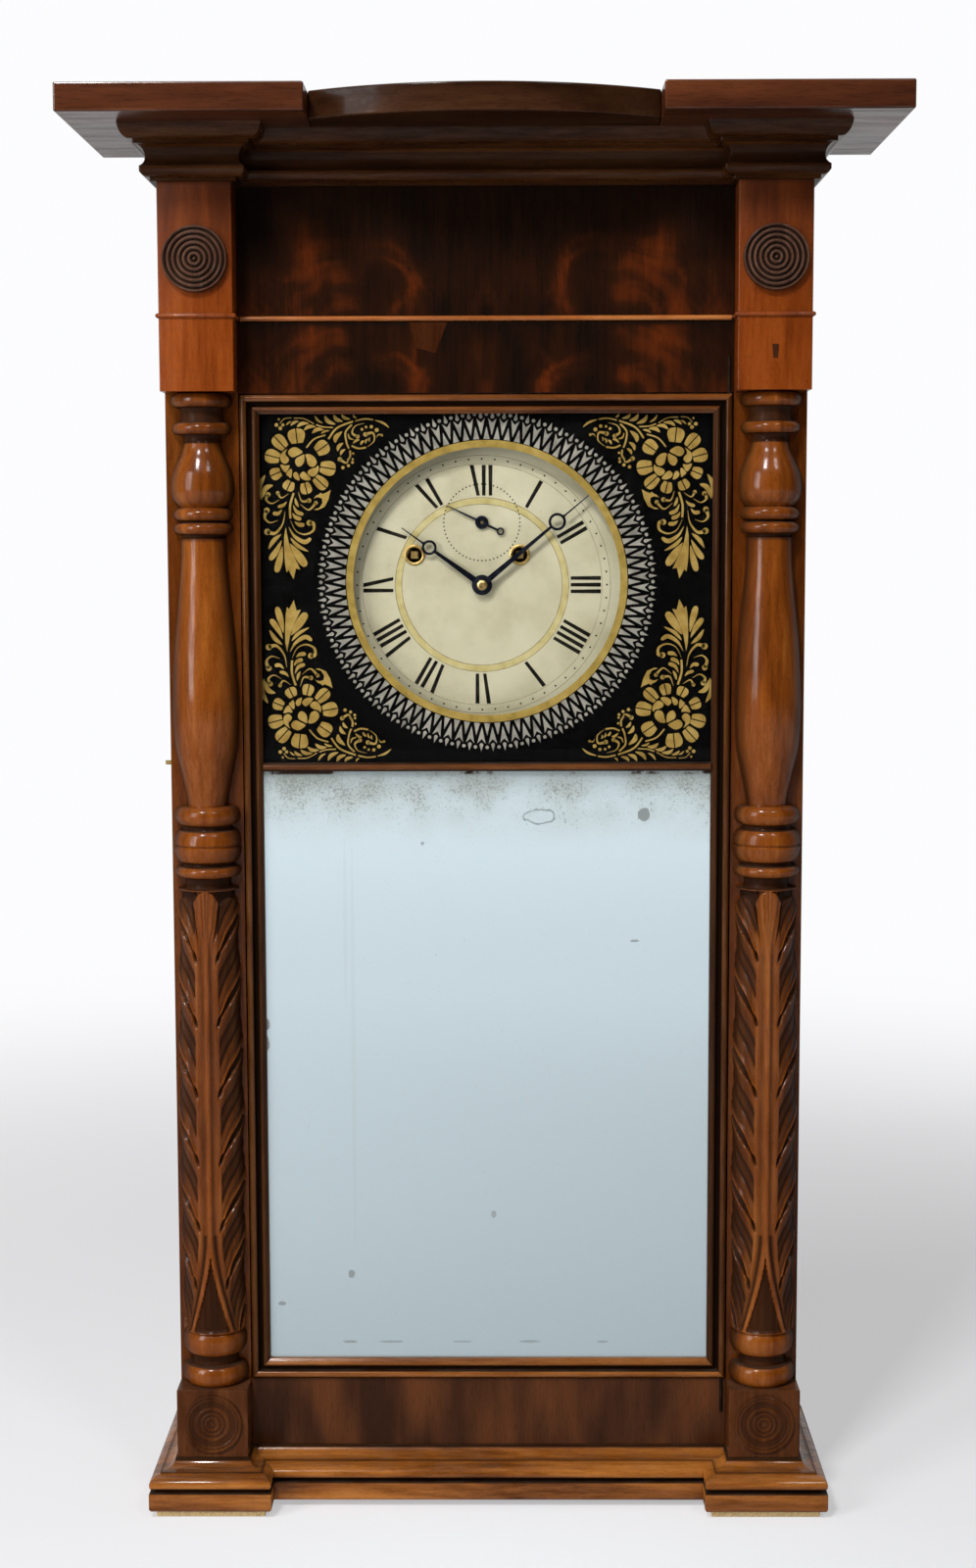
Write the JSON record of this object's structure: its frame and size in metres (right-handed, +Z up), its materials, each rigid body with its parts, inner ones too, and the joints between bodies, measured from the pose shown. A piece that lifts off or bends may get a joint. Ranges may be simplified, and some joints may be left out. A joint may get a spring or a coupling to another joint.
{
  "type": "shelf clock",
  "caption": "Tall wooden shelf clock with split turned columns, flat stepped cornice, hinged door of painted glass and mirror, and a weight-driven striking movement.",
  "frame": {"origin": "on the shelf, under the middle of the cornice", "axes": "+X to the right as seen from the front, +Y to the back, +Z up"},
  "size_m": [0.5618, 0.19, 0.99],
  "materials": {
    "polished_wood": "warm polished wood",
    "dark_veneer": "dark flame veneer, polished",
    "rosette_wood": "dark stained turning",
    "raw_wood": "unpolished softwood",
    "foot_pad": "pale felt",
    "tablet": "glass painted black on its back",
    "mirror": "old silvered glass",
    "dial": "painted, aged cream",
    "blued_steel": "dark blued",
    "brass": "satin",
    "iron_wire": "dull wire",
    "cast_iron": "rough"
  },
  "bodies": {
    "case": {"left_side_board": "polished_wood", "right_side_board": "polished_wood", "left_stile": "polished_wood", "right_stile": "polished_wood", "left_bed_moulding": "polished_wood", "right_bed_moulding": "polished_wood", "centre_bed_moulding": "polished_wood", "left_corner_block": "polished_wood", "right_corner_block": "polished_wood", "left_column": "polished_wood", "right_column": "polished_wood", "left_lower_block": "polished_wood", "right_lower_block": "polished_wood", "left_plinth": "polished_wood", "right_plinth": "polished_wood", "base_moulding": "polished_wood", "frieze_board": "dark_veneer", "bottom_rail": "dark_veneer", "cornice_left_slab": "dark_veneer", "cornice_centre_slab": "dark_veneer", "cornice_right_slab": "dark_veneer", "left_rosette": "rosette_wood", "right_rosette": "rosette_wood", "back_board": "raw_wood", "case_floor": "raw_wood", "case_top_board": "raw_wood", "left_foot_pad": "foot_pad", "right_foot_pad": "foot_pad", "dial_plate": "dial", "front_plate": "brass", "back_plate": "brass", "bell": "brass", "upper_hinge_pin": "iron_wire", "lower_hinge_pin": "iron_wire"},
    "door": {"door_left_stile": "polished_wood", "door_right_stile": "polished_wood", "door_top_rail": "polished_wood", "door_mid_rail": "polished_wood", "door_bottom_rail": "polished_wood", "tablet_glass": "tablet", "mirror_glass": "mirror"},
    "catch": {"door_catch_pin": "brass"},
    "minute_work": {"centre_arbor": "brass", "minute_hand": "blued_steel"},
    "hour_work": {"hour_wheel": "brass", "hour_hand": "blued_steel"},
    "minute_wheel": {"minute_wheel": "brass"},
    "third": {"third_arbor": "brass"},
    "escape": {"escape_arbor": "brass", "seconds_hand": "blued_steel"},
    "going_great": {"going_great_wheel": "brass"},
    "going_drum": {"going_drum": "brass"},
    "strike_drum": {"strike_drum": "brass"},
    "strike_great": {"strike_great_wheel": "brass"},
    "strike_pins": {"strike_pin_wheel": "brass"},
    "anchor": {"anchor": "iron_wire"},
    "pendulum": {"pendulum": "brass"},
    "hammer": {"hammer": "iron_wire"},
    "left_weight": {"left_weight": "cast_iron"},
    "right_weight": {"right_weight": "cast_iron"}
  },
  "joints": [
    {"name": "door_hinge", "type": "hinge", "parent": "case", "child": "door", "pos_m": [0.1689, -0.0091, 0.4405], "axis": [0, 0, 1], "range_deg": [0, 105]},
    {"name": "catch_slide", "type": "slide", "parent": "case", "child": "catch", "axis": [1, 0, 0], "range_m": [0, 0.004]},
    {"name": "minute_turn", "type": "hinge", "parent": "case", "child": "minute_work", "pos_m": [-0.0032, 0.04, 0.6608], "axis": [0, 1, 0], "continuous": true},
    {"name": "hour_turn", "type": "hinge", "parent": "case", "child": "hour_work", "pos_m": [-0.0032, 0.04, 0.6608], "axis": [0, 1, 0], "continuous": true},
    {"name": "minute_wheel_turn", "type": "hinge", "parent": "case", "child": "minute_wheel", "pos_m": [-0.0032, 0.04, 0.6448], "axis": [0, 1, 0], "continuous": true},
    {"name": "third_turn", "type": "hinge", "parent": "case", "child": "third", "pos_m": [-0.0172, 0.04, 0.689], "axis": [0, 1, 0], "continuous": true},
    {"name": "seconds_turn", "type": "hinge", "parent": "case", "child": "escape", "pos_m": [-0.0032, 0.04, 0.7048], "axis": [0, 1, 0], "continuous": true},
    {"name": "going_great_turn", "type": "hinge", "parent": "case", "child": "going_great", "pos_m": [0.0236, 0.04, 0.682], "axis": [0, 1, 0], "continuous": true},
    {"name": "strike_great_turn", "type": "hinge", "parent": "case", "child": "strike_great", "pos_m": [-0.0509, 0.04, 0.682], "axis": [0, 1, 0], "continuous": true},
    {"name": "strike_pins_turn", "type": "hinge", "parent": "case", "child": "strike_pins", "pos_m": [-0.06089, 0.04, 0.64932], "axis": [0, 1, 0], "continuous": true},
    {"name": "left_weight_fall", "type": "slide", "parent": "case", "child": "left_weight", "axis": [0, 0, 1], "range_m": [0, 0.55]},
    {"name": "right_weight_fall", "type": "slide", "parent": "case", "child": "right_weight", "axis": [0, 0, 1], "range_m": [0, 0.55]},
    {"name": "strike_winding", "type": "hinge", "parent": "case", "child": "strike_drum", "pos_m": [-0.0509, 0.04, 0.682], "axis": [0, 1, 0], "range_deg": [0, 1970]},
    {"name": "going_winding", "type": "hinge", "parent": "case", "child": "going_drum", "pos_m": [0.0236, 0.04, 0.682], "axis": [0, 1, 0], "range_deg": [0, 1970]},
    {"name": "pendulum_swing", "type": "hinge", "parent": "case", "child": "pendulum", "pos_m": [-0.0032, 0.069, 0.7248], "axis": [0, 1, 0], "range_deg": [-3.5, 3.5]},
    {"name": "anchor_rock", "type": "hinge", "parent": "case", "child": "anchor", "pos_m": [-0.0032, 0.04, 0.7248], "axis": [0, 1, 0], "range_deg": [-3.5, 3.5]},
    {"name": "hammer_lift", "type": "hinge", "parent": "case", "child": "hammer", "pos_m": [-0.0812, 0.04, 0.7058], "axis": [0, -1, 0], "range_deg": [0, 20], "stiffness_Nm_per_rad": 0.02, "springref_deg": -17.19}
  ],
  "couplings": [
    {"joint": "hour_turn", "follows": "minute_turn", "ratio": 0.083333},
    {"joint": "minute_wheel_turn", "follows": "minute_turn", "ratio": -0.33333},
    {"joint": "third_turn", "follows": "minute_turn", "ratio": -8},
    {"joint": "seconds_turn", "follows": "minute_turn", "ratio": 60},
    {"joint": "going_great_turn", "follows": "minute_turn", "ratio": -0.14286},
    {"joint": "strike_pins_turn", "follows": "strike_great_turn", "ratio": -7},
    {"joint": "strike_winding", "follows": "left_weight_fall", "rad_per_m": 62.5},
    {"joint": "going_winding", "follows": "right_weight_fall", "rad_per_m": 62.5},
    {"joint": "anchor_rock", "follows": "pendulum_swing", "ratio": 1}
  ]
}
